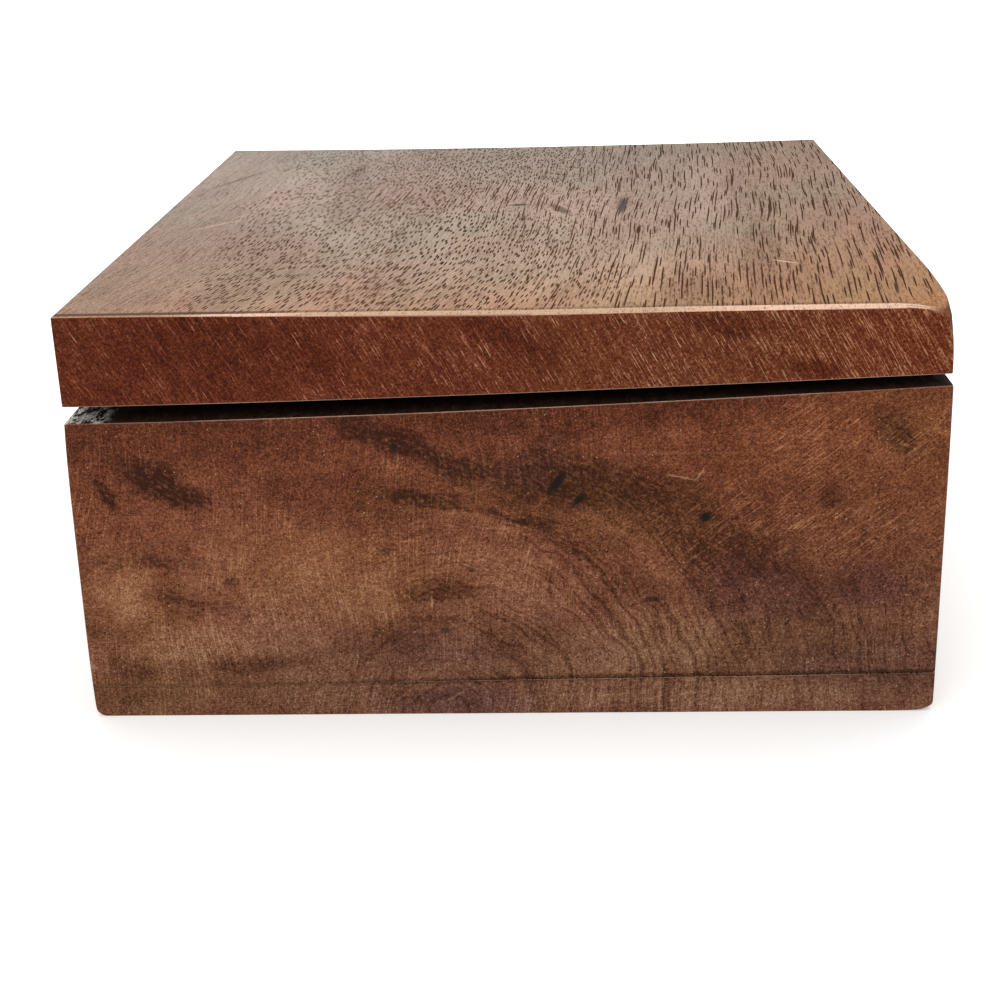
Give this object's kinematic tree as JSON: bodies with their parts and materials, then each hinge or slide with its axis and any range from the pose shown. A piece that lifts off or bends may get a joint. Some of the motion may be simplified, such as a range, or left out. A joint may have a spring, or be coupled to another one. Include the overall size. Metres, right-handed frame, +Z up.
{
  "type": "hinged wooden box",
  "caption": "Small hinged keepsake box: a solid wood block hollowed out, closed below by a glued board and above by a slab lid on brass butt hinges.",
  "frame": {"origin": "middle of the underside of the base board, where the box stands", "axes": "+Z up, -Y out of the front face, +Y towards the hinges, +X to the right seen from the front"},
  "size_m": [0.1274, 0.1526, 0.0627],
  "materials": {
    "block_wood": "oiled and waxed reddish brown hardwood, sanded, low satin sheen",
    "lid_wood": "oiled and waxed reddish brown hardwood, open dark pores, satin sheen",
    "hinge_brass": "aged yellow brass, dull satin"
  },
  "bodies": {
    "box": {"body_block": "block_wood", "base_board": "block_wood", "hinge_left_body_leaf": "hinge_brass", "hinge_left_pin": "hinge_brass", "hinge_left_body_screw_1": "hinge_brass", "hinge_left_body_screw_2": "hinge_brass", "hinge_right_body_leaf": "hinge_brass", "hinge_right_pin": "hinge_brass", "hinge_right_body_screw_1": "hinge_brass", "hinge_right_body_screw_2": "hinge_brass"},
    "lid": {"lid": "lid_wood", "hinge_left_lid_leaf": "hinge_brass", "hinge_left_lid_screw_1": "hinge_brass", "hinge_left_lid_screw_2": "hinge_brass", "hinge_right_lid_leaf": "hinge_brass", "hinge_right_lid_screw_1": "hinge_brass", "hinge_right_lid_screw_2": "hinge_brass"}
  },
  "joints": [
    {"name": "lid_hinge", "type": "hinge", "parent": "box", "child": "lid", "pos_m": [0, 0.07565, 0.04957], "axis": [-0.9996, 0, -0.0296], "range_deg": [0, 180]}
  ]
}
